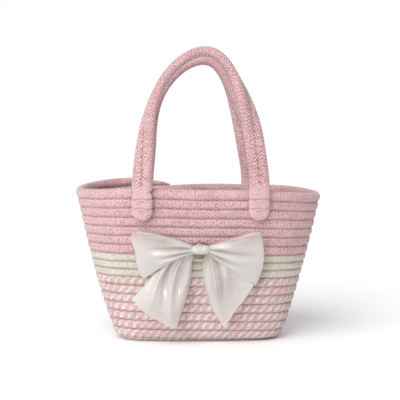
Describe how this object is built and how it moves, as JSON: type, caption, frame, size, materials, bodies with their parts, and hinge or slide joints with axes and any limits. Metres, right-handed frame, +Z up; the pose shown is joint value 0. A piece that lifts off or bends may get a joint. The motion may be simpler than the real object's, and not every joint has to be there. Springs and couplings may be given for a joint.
{
  "type": "rope basket",
  "caption": "Small oval basket sewn from coiled cotton rope, with two swinging rope handles, a round magnetic snap and a ribbon bow on the front wall.",
  "frame": {"origin": "on the table under the middle of the oval base", "axes": "+Z up, +X to the right seen from the front, the bow and the front wall face -Y"},
  "size_m": [0.244, 0.178, 0.2885],
  "materials": {
    "mixed_rope": "matte",
    "cream_rope": "matte",
    "pink_rope": "matte",
    "handle_rope": "matte",
    "pink_thread": "satin",
    "antique_brass": "satin",
    "nickel": "satin",
    "magnet": "matte",
    "white_ribbon": "satin",
    "white_thread": "matte"
  },
  "bodies": {
    "basket": {"base_coil": "mixed_rope", "mixed_rope_wall": "mixed_rope", "cream_rope_wall": "cream_rope", "pink_rope_wall": "pink_rope", "seam_thread": "pink_thread", "front_left_tab": "handle_rope", "front_right_tab": "handle_rope", "back_left_tab": "handle_rope", "back_right_tab": "handle_rope", "tab_stitches": "pink_thread", "front_snap_cap": "antique_brass", "front_snap_socket": "nickel", "snap_magnet": "magnet", "back_snap_cap": "antique_brass", "back_snap_stud": "nickel", "bow_knot": "white_ribbon", "bow_left_loop": "white_ribbon", "bow_right_loop": "white_ribbon", "bow_left_tail": "white_ribbon", "bow_right_tail": "white_ribbon", "bow_tie_thread": "white_thread"},
    "front_handle": {"front_handle_inner_strand": "handle_rope", "front_handle_outer_strand": "handle_rope", "front_handle_thread": "pink_thread"},
    "back_handle": {"back_handle_inner_strand": "handle_rope", "back_handle_outer_strand": "handle_rope", "back_handle_thread": "pink_thread"}
  },
  "joints": [
    {"name": "front_handle_swing", "type": "hinge", "parent": "basket", "child": "front_handle", "pos_m": [0, -0.0787, 0.15095], "axis": [1, 0, 0], "range_deg": [-25, 120]},
    {"name": "back_handle_swing", "type": "hinge", "parent": "basket", "child": "back_handle", "pos_m": [0, 0.0785, 0.15095], "axis": [-1, 0, 0], "range_deg": [-25, 120]}
  ]
}
